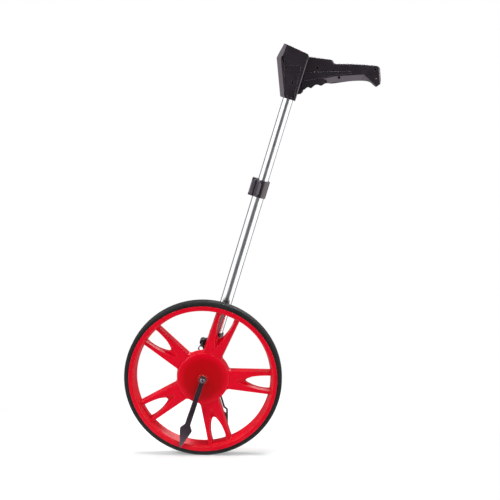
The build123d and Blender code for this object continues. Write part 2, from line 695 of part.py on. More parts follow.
# Triangles cut off the pad corners, (across, up) in the pole frame.
pad_corners = [
    [(-23, 380), (-15.6, 380), (-23, 387.6)],
    [(-23, 415.5), (-15.6, 415.5), (-23, 407.6)],
    [(-0.5, 380), (-7.0, 380), (-0.5, 388.4)],
    [(-0.5, 415.5), (-7.0, 415.5), (-0.5, 406.8)],
]
with BuildPart() as clamp_lever:
    with BuildSketch(POLE.offset(lever_bottom)):
        Polygon((-21.7, -12.6), (-21.7, -16.9), (-20.2, -18.6), (-14.5, -19.8), (-6.0, -20.0),
                (-1.3, -18.2), (-1.3, -15.1), (-7.6, -14.9), (-12.0, -13.2), (-13.4, -10.6),
                align=None)
        with Locations(pivot_place):
            Circle(4.3)
    extrude(amount=lever_top - lever_bottom)
    # octagonal outline: the corners of the pad are cut off
    with BuildSketch(SIDE.offset(25)):
        for corner in pad_corners:
            Polygon(*corner, align=None)
    extrude(amount=-9.6, mode=Mode.SUBTRACT)
    # bevelled ends of the pad
    with BuildSketch(across_pole(-26)):
        Polygon((-21, lever_top - 4.5), (-21, lever_top + 1), (-16.6, lever_top + 1),
                align=None)
        Polygon((-21, lever_bottom + 4.5), (-21, lever_bottom - 1), (-16.6, lever_bottom - 1),
                align=None)
    extrude(amount=26, mode=Mode.SUBTRACT)
    # finger groove down the pad
    with BuildSketch(POLE.offset(lever_bottom + groove_end)):
        with Locations((-12.8, -20.9)):
            Circle(2.1)
    extrude(amount=lever_top - lever_bottom - 2 * groove_end, mode=Mode.SUBTRACT)
    # slot for the bolt eye and bore for the pin
    with BuildSketch(POLE.offset(clamp_up - slot_half_height)):
        Polygon((-23, -15.6), (-23, -6), (-12.6, -6), (-12.6, -15.6), align=None)
    extrude(amount=2 * slot_half_height, mode=Mode.SUBTRACT)
    with BuildSketch(POLE.offset(clamp_up - pin_half_length)):
        with Locations(pivot_place):
            Circle(pin_r)
    extrude(amount=2 * pin_half_length, mode=Mode.SUBTRACT)
    # relief at both ends so that the cam carries only beside the bolt
    for station, depth in ((lever_bottom - 1, 5.0), (lever_top + 1, -5.0)):
        with BuildSketch(POLE.offset(station)):
            Polygon((-23, -14.6), (-23, -6), (-12.9, -6), (-12.9, -14.6), align=None)
        extrude(amount=depth, mode=Mode.SUBTRACT)
save(clamp_lever, "clamp_lever")

save_rod("lever_pin", POLE.offset(clamp_up - pin_half_length), pivot_place, pin_r,
         2 * pin_half_length)

# ---------------------------------------------------------------- upper pole
tube_screw_place = (-0.8, 617.0)       # screw through the head and the tube, pole frame
tube_screw_r = 1.7
with BuildPart() as upper_tube:
    with BuildSketch(POLE.offset(upper_bottom)):
        Circle(upper_od / 2)
        Circle(upper_id / 2, mode=Mode.SUBTRACT)
    extrude(amount=upper_top - upper_bottom)
    with BuildSketch(SIDE.offset(15)):
        with Locations(tube_screw_place):
            Circle(tube_screw_r)
    extrude(amount=-30, mode=Mode.SUBTRACT)
save(upper_tube, "upper_tube")

# Guide ring plugged into the bottom of the upper tube; the cable passes through it.
bush_bore_r = 8.3
guide_length = 5.0                     # part below the upper tube, running in the lower tube
with BuildPart() as tube_end_bush:
    with BuildSketch(POLE.offset(upper_bottom - guide_length)):
        Circle(lower_id / 2 - run)
        Circle(bush_bore_r, mode=Mode.SUBTRACT)
    extrude(amount=guide_length)
    with BuildSketch(POLE.offset(upper_bottom)):
        Circle(upper_id / 2)
        Circle(bush_bore_r, mode=Mode.SUBTRACT)
    extrude(amount=12.0)
save(tube_end_bush, "tube_end_bush")

# Signal cable: a coiled length in the lower tube, a straight length up to the head.
with BuildPart() as coiled_cord:
    with BuildLine() as cord_path:
        Helix(pitch=9.0, height=160.0, radius=5.6,
              center=POLE.from_local_coords((0, 0, 64.0)), direction=POLE.z_dir)
    with BuildSketch(Plane(origin=cord_path.line @ 0, z_dir=cord_path.line % 0)):
        Circle(1.5)
    sweep(is_frenet=True)
save(coiled_cord, "coiled_cord")

cord_across = 2.5                      # the cable passes beside the tube screw
save_rod("upper_cord", POLE.offset(240.0), (cord_across, 0), radius=1.25, length=403.0)

# ---------------------------------------------------------------- kickstand
# A single bent wire: a leg on each side of the bracket, joined by a foot bar.
stand_x = stand_across * lean_cos + stand_up * lean_sin
stand_z = tyre_r - stand_across * lean_sin + stand_up * lean_cos
leg_near, leg_far = 18.6, 53.4         # legs along Y
stand_end = 12.0                       # wire ends turned in towards the bracket
foot_x, foot_z = 45.6, 4.0
# Bends of one leg from the pivot down to the foot bar, (x, z).
leg_bends = [
    (stand_x, stand_z), (39.6, tyre_r - 76.5), (45.4, tyre_r - 81.5), (foot_x, foot_z)]
stand_points = (
    [(stand_x, leg_near + stand_end, stand_z)]
    + [(x, leg_near, z) for x, z in leg_bends]
    + [(x, leg_far, z) for x, z in reversed(leg_bends)]
    + [(stand_x, leg_far - stand_end, stand_z)])
with BuildPart() as kickstand_wire:
    with BuildLine() as stand_path:
        FilletPolyline(*stand_points, radius=3.0)
    with BuildSketch(Plane(origin=stand_points[0], x_dir=(1, 0, 0), z_dir=(0, -1, 0))):
        Circle(wire_r)
    sweep()
save(kickstand_wire, "kickstand_wire")

# Rubber foot pushed over the bar, with a flat sole on the ground. Local y points down.
foot_inset = 6.0                       # from each leg
sole_height = 3.0
with BuildPart() as kickstand_foot:
    with BuildSketch(Plane(origin=(foot_x, leg_near + foot_inset, foot_z),
                           x_dir=(1, 0, 0), z_dir=(0, 1, 0))):
        Circle(3.9)
        with Locations((0, foot_z - sole_height / 2)):
            Rectangle(7.8, sole_height)
        Circle(wire_r, mode=Mode.SUBTRACT)
    extrude(amount=leg_far - leg_near - 2 * foot_inset)
save(kickstand_foot, "kickstand_foot")

# Sheet-metal clip below the pivot, C-shaped seen along the axle, and its screw.
clip_half_w = 5.0
with BuildPart() as stand_clip:
    with BuildSketch(SIDE.offset(-clip_half_w)):
        with BuildLine():
            Polyline((-14.2, 43.4), (-14.2, 53.0), (-24.2, 53.0), (-26.6, 46.2), (-23.4, 43.6))
        trace(line_width=1.2)
    extrude(amount=2 * clip_half_w)
    with BuildSketch(across_pole(-13.0, clip_screw_up)):
        Circle(clip_screw_r)
    extrude(amount=-3.0, mode=Mode.SUBTRACT)
save(stand_clip, "stand_clip")

clip_screw_seat = across_pole(-14.8, clip_screw_up)
with BuildPart() as clip_screw:
    with BuildSketch(clip_screw_seat):
        Circle(2.3)
    extrude(amount=-1.3)
    with BuildSketch(clip_screw_seat):
        Circle(clip_screw_r)
    extrude(amount=7.0)
save(clip_screw, "clip_screw")


# ================================================================ HEAD AND GRIP
def pole_across(point):
    """Distance square to the pole, in the pole frame, of a point in space."""
    return point.X * lean_cos - (point.Z - tyre_r) * lean_sin


def pole_up(point):
    """Distance up the pole, in the pole frame, of a point in space."""
    return point.X * lean_sin + (point.Z - tyre_r) * lean_cos


def on_side(edge, half_width):
    """True for an edge whose middle lies half_width to either side of the seam."""
    return abs(abs((edge @ 0.5).Y - pole_y) - half_width) < 0.01


# Display face: local x runs down its slope towards +X, local z points out of it.
display_sink = 1.0                     # display face below the rim of the head
face_across, face_up = 0.9919, -0.1272     # direction of the display face in the pole frame
TOP = Plane(origin=SIDE.from_local_coords((-13.35, 681.55, 0)),
            x_dir=(face_across * lean_cos + face_up * lean_sin, 0,
                   -face_across * lean_sin + face_up * lean_cos),
            z_dir=(-face_up * lean_cos + face_across * lean_sin, 0,
                   face_up * lean_sin + face_across * lean_cos)).offset(-display_sink)
# Sloping top of the battery hump, in side view.
HUMP = Plane(origin=GRIP.from_local_coords((231.65, 638.15, 0)), x_dir=(0.9920, 0, -0.1265),
             z_dir=(0, -1, 0))
# Joint between the near and far housing halves.
SEAM = Plane(origin=(0, pole_y, 0), x_dir=(1, 0, 0), z_dir=(0, 1, 0))

grip_screw_places = [(224.8, 619.4), (267.6, 600.9), (337.3, 616.0)]
grip_screw_r = 1.3
grip_screw_seat = 11.0                 # seat of the heads, in front of the seam
tube_screw_seat = 24.0
lanyard_place, lanyard_r = (341.0, 598.2), 1.6
lanyard_post_r = 4.2

# Bevel along the underside of the grip: three planes that meet where the hand turns.
# Each row is a point of the bevel edge (x, z) and the direction of that edge (x, z).
bevel_edges = [
    (280.0, 604.6, 0.9982, 0.0610),
    (259.0, 603.2, 0.9766, 0.2149),
    (316.8, 606.2, 0.7470, -0.6650),
]
bevel_reach = 160                      # cutter length either side of the point
with BuildPart() as bevel_near:
    for row, (x, z, dir_x, dir_z) in enumerate(bevel_edges):
        with BuildSketch(Plane(
                origin=GRIP.from_local_coords((x - bevel_reach * dir_x,
                                               z - bevel_reach * dir_z, 0)),
                x_dir=(0, 1, 0), z_dir=(dir_x, 0, dir_z))):
            Polygon((-20.1, 5.0), (-16.5, 0.0), (-8.2, -11.6), (-8.2, -60.0), (-45, -60.0),
                    (-45, 5.0), align=None)
        extrude(amount=2.0 * bevel_reach, mode=Mode.INTERSECT if row else Mode.ADD)
bevel_far = mirror(bevel_near.part, about=SEAM)

# Underside of the grip from the tail back to the head, (x, z) from the axle.
grip_underside = [
    (335.4, 586.0), (330.0, 590.6), (323.8, 593.2), (309.0, 594.4), (292.5, 593.7),
    (275.0, 591.6), (259.0, 589.3), (251.0, 588.8), (245.5, 589.6), (239.9, 588.8),
    (233.3, 585.1), (227.0, 586.6), (220.9, 586.0), (212.0, 580.2), (208.4, 581.9),
    (205.3, 581.3), (200.6, 577.4), (196, 577.0)]
panel_rise = 1.1                       # side panels stand proud of the grip
neck_half_w = 10.5
with BuildPart() as grip:
    # grip with its battery hump on top and finger grooves below
    with BuildSketch(GRIP.offset(-grip_half_w)):
        with BuildLine():
            Polyline((196, 577.0), (196, 642.4), (209.3, 641.0), (254.0, 635.3),
                     (259.3, 627.9), (263.5, 627.4))
            ThreePointArc((263.5, 627.4), (303.2, 626.6), (341.1, 623.7))
            ThreePointArc((341.1, 623.7), (345.6, 621.4), (347.6, 616.5))
            Polyline((347.6, 616.5), (349.4, 597.0), (348.6, 588.6), (340.0, 582.4),
                     (335.4, 586.0))
            Spline(*grip_underside)
        make_face()
    extrude(amount=2 * grip_half_w)
    fillet(grip.edges().filter_by(
        lambda e: on_side(e, grip_half_w) and (e @ 0.5).Z - tyre_r > 618
        and (e @ 0.5).X > 200), 3.6)
    # raised side panels
    with BuildSketch(GRIP.offset(-grip_half_w - panel_rise)):
        Polygon((200, 611.4), (211.0, 611.6), (290.0, 613.4), (292.0, 608.2), (262.0, 606.6),
                (240.0, 600.6), (200, 594.2), align=None)
    extrude(amount=2 * grip_half_w + 2 * panel_rise)
    add(bevel_near.part, mode=Mode.SUBTRACT)
    add(bevel_far, mode=Mode.SUBTRACT)
    # neck between the grip and the head
    with BuildSketch(GRIP.offset(-neck_half_w)):
        Polygon((180, 600), (180, 571), (187.0, 567.8), (193.4, 568.8), (197.4, 572.4),
                (198.6, 579.0), (204, 590), (204, 600), align=None)
    extrude(amount=2 * neck_half_w)

crease_up = 665.0                      # the sides lean in above this station
with BuildPart() as head:
    with BuildSketch(SIDE.offset(-head_half_w)):
        Polygon((-38.7, 684.8), (12.0, 678.3), (14.2, 674.4), (14.2, head_bottom),
                (-16.5, head_bottom), (-45.1, 654.1), (-43.6, 662.4), align=None)
    extrude(amount=2 * head_half_w)
    chamfer(head.edges().filter_by(
        lambda e: on_side(e, head_half_w) and pole_across(e @ 0.5) < -25), 8.0)
    chamfer(head.edges().filter_by(
        lambda e: on_side(e, head_half_w) and pole_across(e @ 0.5) > 14.1
        and e.length > 60), 1.5)
    # upper part of both sides leans in above a crease
    for side in (-1, 1):
        with BuildSketch(across_pole(-60)):
            Polygon((side * head_half_w, crease_up), (side * (head_half_w - 3.2), 686.5),
                    (side * (head_half_w + 3), 686.5), (side * (head_half_w + 3), crease_up),
                    align=None)
        extrude(amount=90, mode=Mode.SUBTRACT)
    # recessed panel on each side
    for side in (1, -1):
        with BuildSketch(SIDE.offset(side * head_half_w)):
            Polygon((-26.2, 644.2), (4.8, 652.6), (9.9, 589.0), (-10.0, 589.0), align=None)
        extrude(amount=-side * 1.4, mode=Mode.SUBTRACT)
    # notch where the nose facets meet the side panel
    for side in (1, -1):
        with BuildSketch(SIDE.offset(side * (head_half_w + 1))):
            Polygon((-37.6, 659.6), (-30.6, 662.0), (-28.4, 645.4), align=None)
        extrude(amount=-side * 4.0, mode=Mode.SUBTRACT)

# Hollow of the head behind the display.
hollow_half_w = 24.0
with BuildPart() as head_hollow:
    with BuildSketch(SIDE.offset(-hollow_half_w)):
        Polygon((-36.6, 640.0), (-42.4, 654.4), (-41.1, 661.8), (-37.3, 678.9), (11.5, 672.6),
                (11.5, 640.0), align=None)
    extrude(amount=2 * hollow_half_w)
    chamfer(head_hollow.edges().filter_by(
        lambda e: on_side(e, hollow_half_w) and pole_across(e @ 0.5) < -30
        and pole_up(e @ 0.5) > 641), 4.0)

bezel_size = (45.0, 47.0, 4.0)         # length, width, corner radius
bezel_t = 2.4
bay_half_w = 11.8                      # battery bay
hinge_place = (17.0, -1.6)             # battery door pin, in the HUMP plane
hinge_pin_r = 0.8
hinge_half_length = 14.2
with BuildPart() as shell:
    add(grip.part)
    add(head.part)
    add(head_hollow.part, mode=Mode.SUBTRACT)
    # pockets beside the tube
    for pocket_start in (14.6, -25.2):
        with BuildSketch(SIDE.offset(pocket_start)):
            Polygon((-8.0, 589.0), (11.4, 589.0), (11.4, 635.0), (-26.0, 635.0), align=None)
        extrude(amount=10.6, mode=Mode.SUBTRACT)
    # post around the tube screw
    with BuildSketch(SIDE.offset(-26.0)):
        with Locations(tube_screw_place):
            Circle(3.9)
    extrude(amount=52.0)
    # socket for the tube, open at the bottom, with a way up for the cable
    with BuildSketch(POLE.offset(580)):
        Circle(upper_od / 2)
    extrude(amount=upper_top - 580, mode=Mode.SUBTRACT)
    with BuildSketch(POLE.offset(upper_top - 1)):
        Circle(8.0)
    extrude(amount=12.0, mode=Mode.SUBTRACT)
    # display recess and opening
    with BuildSketch(TOP.offset(-bezel_t)):
        RectangleRounded(*bezel_size)
    extrude(amount=6.0, mode=Mode.SUBTRACT)
    with BuildSketch(TOP.offset(-9.0)):
        RectangleRounded(40.0, 42.0, 3.0)
    extrude(amount=9.0, mode=Mode.SUBTRACT)
    # battery bay, its door opening, and lightening hollows of the grip
    with BuildSketch(GRIP.offset(-bay_half_w)):
        Polygon((205.0, 621.9), (252.0, 621.9), (252.0, 633.0), (205.0, 633.0), align=None)
    extrude(amount=2 * bay_half_w, mode=Mode.SUBTRACT)
    with BuildSketch(HUMP.offset(-bay_half_w)):
        with Locations((0.05, 0)):
            Rectangle(37.7, 12.0)
    extrude(amount=2 * bay_half_w, mode=Mode.SUBTRACT)
    with BuildSketch(GRIP.offset(-12.0)):
        Polygon((209, 598.5), (209, 615.4), (250, 615.4), (250, 606.5), (238, 603.5),
                align=None)
        Polygon((271.8, 608.8), (271.8, 622.6), (330.0, 620.6), (322.0, 609.5), align=None)
    extrude(amount=24.0, mode=Mode.SUBTRACT)
    with BuildSketch(HUMP.offset(-hinge_half_length)):
        with Locations(hinge_place):
            Circle(hinge_pin_r)
    extrude(amount=2 * hinge_half_length, mode=Mode.SUBTRACT)
    # counterbored screw holes from the near side
    with BuildSketch(GRIP.offset(20)):
        with Locations(*grip_screw_places):
            Circle(2.6)
    extrude(amount=grip_screw_seat - 20, mode=Mode.SUBTRACT)
    with BuildSketch(GRIP.offset(12)):
        with Locations(*grip_screw_places):
            Circle(grip_screw_r)
    extrude(amount=-21.0, mode=Mode.SUBTRACT)
    with BuildSketch(SIDE.offset(31)):
        with Locations(tube_screw_place):
            Circle(2.6)
    extrude(amount=tube_screw_seat - 31, mode=Mode.SUBTRACT)
    with BuildSketch(SIDE.offset(25)):
        with Locations(tube_screw_place):
            Circle(tube_screw_r)
    extrude(amount=-46.0, mode=Mode.SUBTRACT)

# The near half carries the whole lanyard post, which reaches across the far half.
with BuildPart() as housing_near:
    add(shell.part)
    split(bisect_by=SEAM, keep=Keep.BOTTOM)
    with BuildSketch(GRIP.offset(0.5)):
        with Locations(lanyard_place):
            Circle(lanyard_post_r)
    extrude(amount=-(grip_half_w + 0.5))
    with BuildSketch(GRIP.offset(20)):
        with Locations(lanyard_place):
            Circle(lanyard_r)
    extrude(amount=-40, mode=Mode.SUBTRACT)
save(housing_near, "housing_near")

with BuildPart() as housing_far:
    add(shell.part)
    split(bisect_by=SEAM, keep=Keep.TOP)
    with BuildSketch(GRIP.offset(1)):
        with Locations(lanyard_place):
            Circle(lanyard_post_r)
    extrude(amount=-20, mode=Mode.SUBTRACT)
save(housing_far, "housing_far")

save_screws("housing_screws", GRIP, seat=grip_screw_seat, out=1, places=grip_screw_places,
            head_r=2.4, head_height=2.2, edge_r=0.7,
            shank_r=grip_screw_r, shank_length=20.0, slot=(2.6, 0.6, 1.1))
save_screws("pole_screw", SIDE, seat=tube_screw_seat, out=1, places=[tube_screw_place],
            head_r=2.5, head_height=2.2, edge_r=0.7,
            shank_r=tube_screw_r, shank_length=45.0, slot=(2.8, 0.7, 1.1))

# ---------------------------------------------------------------- display face
# Depths are offsets of the TOP plane; places are (down the slope, +Y or -Y) in it.
button_names = ("unit_button", "reset_button", "power_button")
button_places = [(13.2, y) for y in (-13.5, 0.0, 13.5)]
button_length, button_w = 9.0, 6.5
button_gap = 0.3                       # opening larger than the button, overall
button_flange = 1.6                    # flange larger than the button, overall
window_place = (-7.6, 0)
window_seat = -1.1
board_posts = [(-16.5, -18.0), (-16.5, 18.0), (5.4, -18.0), (5.4, 18.0)]
board_screw_r = 0.9
board_back, board_t = -10.0, 1.6
board_front = board_back + board_t
with BuildPart() as display_bezel:
    with BuildSketch(TOP.offset(-bezel_t)):
        RectangleRounded(*bezel_size)
    extrude(amount=bezel_t)
    # window seat, display opening and button openings
    with BuildSketch(TOP.offset(window_seat)):
        with Locations(window_place):
            RectangleRounded(21.0, 38.0, 2.0)
    extrude(amount=1.2, mode=Mode.SUBTRACT)
    with BuildSketch(TOP.offset(-3.0)):
        with Locations(window_place):
            RectangleRounded(16.4, 33.0, 1.0)
    extrude(amount=3.2, mode=Mode.SUBTRACT)
    with BuildSketch(TOP.offset(-3.0)):
        with Locations(*button_places):
            SlotOverall(button_length + button_gap, button_w + button_gap, rotation=90)
    extrude(amount=3.2, mode=Mode.SUBTRACT)
    # posts for the circuit board
    with BuildSketch(TOP.offset(board_front)):
        with Locations(*board_posts):
            Circle(2.1)
    extrude(amount=6.0)
    with BuildSketch(TOP.offset(board_front - 0.1)):
        with Locations(*board_posts):
            Circle(board_screw_r)
    extrude(amount=5.0, mode=Mode.SUBTRACT)
save(display_bezel, "display_bezel")

with BuildPart() as display_window:
    with BuildSketch(TOP.offset(window_seat)):
        with Locations(window_place):
            RectangleRounded(20.8, 37.8, 1.9)
    extrude(amount=1.0)
save(display_window, "display_window")

with BuildPart() as lcd_panel:
    with BuildSketch(TOP.offset(-5.2)):
        with Locations(window_place):
            Rectangle(19.6, 31.0)
    extrude(amount=2.7)
save(lcd_panel, "lcd_panel")

# Blocks on the back of the circuit board: place, then length and width.
board_blocks = [((-6, 2), (9, 9)), ((7, -9), (4, 5)), ((8, 8), (3, 8))]
with BuildPart() as circuit_board:
    with BuildSketch(TOP.offset(board_back)):
        Rectangle(38.0, 40.4)
        with Locations(*board_posts):
            Circle(board_screw_r, mode=Mode.SUBTRACT)
    extrude(amount=board_t)
    with BuildSketch(TOP.offset(board_back)):
        for place, size in board_blocks:
            with Locations(place):
                Rectangle(*size)
    extrude(amount=-1.4)
save(circuit_board, "circuit_board")

switch_height = 1.1
with BuildPart() as tact_switches:
    with BuildSketch(TOP.offset(board_front)):
        with Locations(*button_places):
            Rectangle(4.5, 4.5)
    extrude(amount=switch_height)
    with BuildSketch(TOP.offset(board_front + switch_height)):
        with Locations(*button_places):
            Circle(1.2)
    extrude(amount=0.6)
save(tact_switches, "tact_switches")

board_head_height = 1.2
with BuildPart() as board_screws:
    with BuildSketch(TOP.offset(board_back - board_head_height)):
        with Locations(*board_posts):
            Circle(1.8)
    extrude(amount=board_head_height)
    with BuildSketch(TOP.offset(board_back)):
        with Locations(*board_posts):
            Circle(board_screw_r)
    extrude(amount=5.8)
save(board_screws, "board_screws")

# Buttons: a rounded cap, a flange under the bezel and a plunger above the switch.
for name, place in zip(button_names, button_places):
    with BuildPart() as button:
        with BuildSketch(TOP.offset(-2.6)):
            with Locations(place):
                SlotOverall(button_length, button_w, rotation=90)
        extrude(amount=3.7)
        fillet(button.faces().sort_by(Axis((0, 0, 0), tuple(TOP.z_dir)))[-1].edges(), 0.7)
        with BuildSketch(TOP.offset(-3.3)):
            with Locations(place):
                SlotOverall(button_length + button_flange, button_w + button_flange,
                            rotation=90)
        extrude(amount=0.8)
        with BuildSketch(TOP.offset(-5.6)):
            with Locations(place):
                Circle(1.6)
        extrude(amount=2.6)
    save(button, name)

# ---------------------------------------------------------------- batteries
# Two cells side by side, pointing opposite ways.
cell_z = 627.3                         # above the axle
cell_r, cell_length = 5.2, 43.5
# Each row is the start along X, the offset along Y and the pointing direction along X.
cells = [(206.2, -5.6, 1), (250.7, 5.6, -1)]
with BuildPart() as battery_cells:
    for start_x, side_y, heading in cells:
        with BuildSketch(Plane(origin=GRIP.from_local_coords((start_x, cell_z, -side_y)),
                               x_dir=(0, 1, 0), z_dir=(heading, 0, 0))):
            Circle(cell_r)
        extrude(amount=cell_length)
        tip_x = start_x + heading * cell_length
        with BuildSketch(Plane(origin=GRIP.from_local_coords((tip_x, cell_z, -side_y)),
                               x_dir=(0, 1, 0), z_dir=(heading, 0, 0))):
            Circle(1.9)
        extrude(amount=1.0)
save(battery_cells, "battery_cells")

contact_t = 0.7
contact_half_w = 10.8
with BuildPart() as battery_contacts:
    for contact_x in (205.0, 251.3):
        with BuildSketch(GRIP.offset(-contact_half_w)):
            with Locations((contact_x + contact_t / 2, cell_z)):
                Rectangle(contact_t, 9.6)
        extrude(amount=2 * contact_half_w)
save(battery_contacts, "battery_contacts")

# Hinged battery door: plate with finger grooves, round knuckle at the grip end.
door_half_w = 11.5
door_t = 2.2
groove_count, groove_pitch = 4, 2.2
with BuildPart() as battery_door:
    with BuildSketch(HUMP.offset(-door_half_w)):
        with BuildLine():
            Polyline((hinge_place[0], 0), (-18.5, 0), (-18.5, -door_t),
                     (hinge_place[0], -door_t), close=True)
        make_face()
        with Locations(hinge_place):
            Circle(1.6)
    extrude(amount=2 * door_half_w)
    with BuildSketch(HUMP.offset(-7.0)):
        with Locations(*[(-15.5 + groove_pitch * k, 0.15) for k in range(groove_count)]):
            Rectangle(1.0, 1.3)
    extrude(amount=14.0, mode=Mode.SUBTRACT)
    with BuildSketch(HUMP.offset(-12)):
        with Locations(hinge_place):
            Circle(hinge_pin_r + run)
    extrude(amount=24.0, mode=Mode.SUBTRACT)
save(battery_door, "battery_door")

save_rod("door_pin", HUMP.offset(-hinge_half_length), hinge_place, hinge_pin_r,
         2 * hinge_half_length)
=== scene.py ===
# A measuring wheel on a leaning pole: its materials, and a white studio around it.
# +Z is up. The wheel turns about an axis along Y, at x = 0 and z = AXLE_Z, and the pole
# leans toward +X as it rises. The camera stands on the -Y side.
import json
import math

import bmesh
import bpy
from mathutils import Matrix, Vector

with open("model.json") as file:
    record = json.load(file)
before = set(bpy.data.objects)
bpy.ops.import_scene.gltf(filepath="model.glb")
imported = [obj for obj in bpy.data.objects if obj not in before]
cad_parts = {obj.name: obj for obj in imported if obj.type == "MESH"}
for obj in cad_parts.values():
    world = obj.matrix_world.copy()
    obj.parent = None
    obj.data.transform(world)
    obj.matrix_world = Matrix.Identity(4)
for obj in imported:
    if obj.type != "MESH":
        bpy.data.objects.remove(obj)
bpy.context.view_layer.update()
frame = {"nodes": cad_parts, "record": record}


LEAN = math.radians(16.8)   # pole from vertical
AXLE_Z = 0.159155
POLE_Y = 0.036              # plane of the housing seam and the middle of the display
LCD_X = 0.17584             # middle of the display
BATTERY_X = 0.22845         # middle of the battery, which lies along X
RUB_ROUGHNESS = 0.25        # roughness added where an edge is rubbed


# ------------------------------------------------------------------ node helpers
class Nodes:
    """Short ways to add shader nodes to the emptied tree of a material or world."""

    def __init__(self, owner):
        owner.use_nodes = True
        self.tree = owner.node_tree
        self.tree.nodes.clear()

    def put(self, socket, value):
        """Link or set one input. A three-part colour gains an alpha of 1."""
        if hasattr(value, "is_output"):
            self.tree.links.new(value, socket)
            return
        if isinstance(value, tuple) and len(value) == 3 and socket.type == "RGBA":
            value = (*value, 1.0)
        socket.default_value = value

    def node(self, kind, inputs=None, **settings):
        made = self.tree.nodes.new("ShaderNode" + kind)
        for key, value in settings.items():
            setattr(made, key, value)
        for key, value in (inputs or {}).items():
            self.put(made.inputs[key], value)
        return made

    def xyz(self, vector):
        return self.node("SeparateXYZ", {0: vector}).outputs[:3]

    def span(self, value, over, to=(0.0, 1.0), smooth=True):
        """Map the range `over` onto the range `to`."""
        inputs = dict(enumerate((value, *over, *to)))
        kind = "SMOOTHSTEP" if smooth else "LINEAR"
        return self.node("MapRange", inputs, interpolation_type=kind).outputs[0]

    def mix(self, fac, below, above, amount=None, blend="MIX"):
        """Lay one colour above another; `amount` scales the mask."""
        if amount is not None:
            fac = self.mul(fac, amount)
        inputs = {0: fac, 6: below, 7: above}
        return self.node("Mix", inputs, data_type="RGBA", blend_type=blend).outputs[2]

    def math(self, operation, a, b=0.0):
        return self.node("Math", {0: a, 1: b, 2: 0.0}, operation=operation).outputs[0]

    def add(self, a, b):
        return self.math("ADD", a, b)

    def sub(self, a, b):
        return self.math("SUBTRACT", a, b)

    def mul(self, a, b):
        return self.math("MULTIPLY", a, b)

    def distance(self, value, centre):
        return self.math("ABSOLUTE", self.sub(value, centre))

    def length(self, a, b):
        return self.math("SQRT", self.add(self.mul(a, a), self.mul(b, b)))

    def weighted(self, *parts):
        """Sum of (signal, weight) pairs."""
        total = None
        for signal, weight in parts:
            part = self.mul(signal, weight)
            total = part if total is None else self.add(total, part)
        return total


class Look(Nodes):
    """A material around one Principled shader, in object coordinates."""

    def __init__(self, name):
        self.mat = bpy.data.materials.new(name)
        super().__init__(self.mat)
        self.shader = self.node("BsdfPrincipled")
        self.out = self.node("OutputMaterial", {0: self.shader.outputs[0]})
        self.coords = self.node("TexCoord").outputs["Object"]

    def set(self, **values):
        for key, value in values.items():
            self.put(self.shader.inputs[key.replace("_", " ")], value)

    def place(self, scale=(1, 1, 1), rot=(0, 0, 0)):
        return self.node("Mapping", {0: self.coords, 2: rot, 3: scale}).outputs[0]

    def noise(self, scale, detail=3.0, rough=0.55, at=None, distortion=0.0):
        inputs = {
            "Vector": at or self.coords,
            "Scale": scale,
            "Detail": detail,
            "Roughness": rough,
            "Distortion": distortion,
        }
        return self.node("TexNoise", inputs).outputs[0]

    def cells(self, scale, feature="F1"):
        inputs = {"Vector": self.coords, "Scale": scale}
        return self.node("TexVoronoi", inputs, feature=feature).outputs[0]

    def rounded(self, radius):
        """Normal with its edges rounded off."""
        return self.node("Bevel", {0: radius}, samples=4).outputs[0]

    def edges(self, radius):
        """Mask of convex and concave edges, and the rounded normal that goes with it."""
        normal = self.rounded(radius)
        true_normal = self.node("NewGeometry").outputs["Normal"]
        dot = self.node("VectorMath", {0: normal, 1: true_normal}, operation="DOT_PRODUCT")
        turned_away = self.sub(1.0, dot.outputs["Value"])
        return self.span(turned_away, over=(0.02, 0.225)), normal

    def hollow(self, distance):
        """0 deep inside holes and corners, 1 on open faces."""
        occlusion = self.node("AmbientOcclusion", {"Distance": distance}, samples=8)
        return self.span(occlusion.outputs["AO"], over=(0.40, 0.85))

    def bump(self, height, strength, distance, normal=None):
        inputs = {"Strength": strength, "Distance": distance, "Height": height}
        if normal is not None:
            inputs["Normal"] = normal
        return self.node("Bump", inputs).outputs[0]

    def axle_radius(self):
        x, y, z = self.xyz(self.coords)
        return self.length(x, self.sub(z, AXLE_Z))


def lift(colour, gain, offset=0.0):
    return tuple(min(1.0, v * gain + offset) for v in colour)


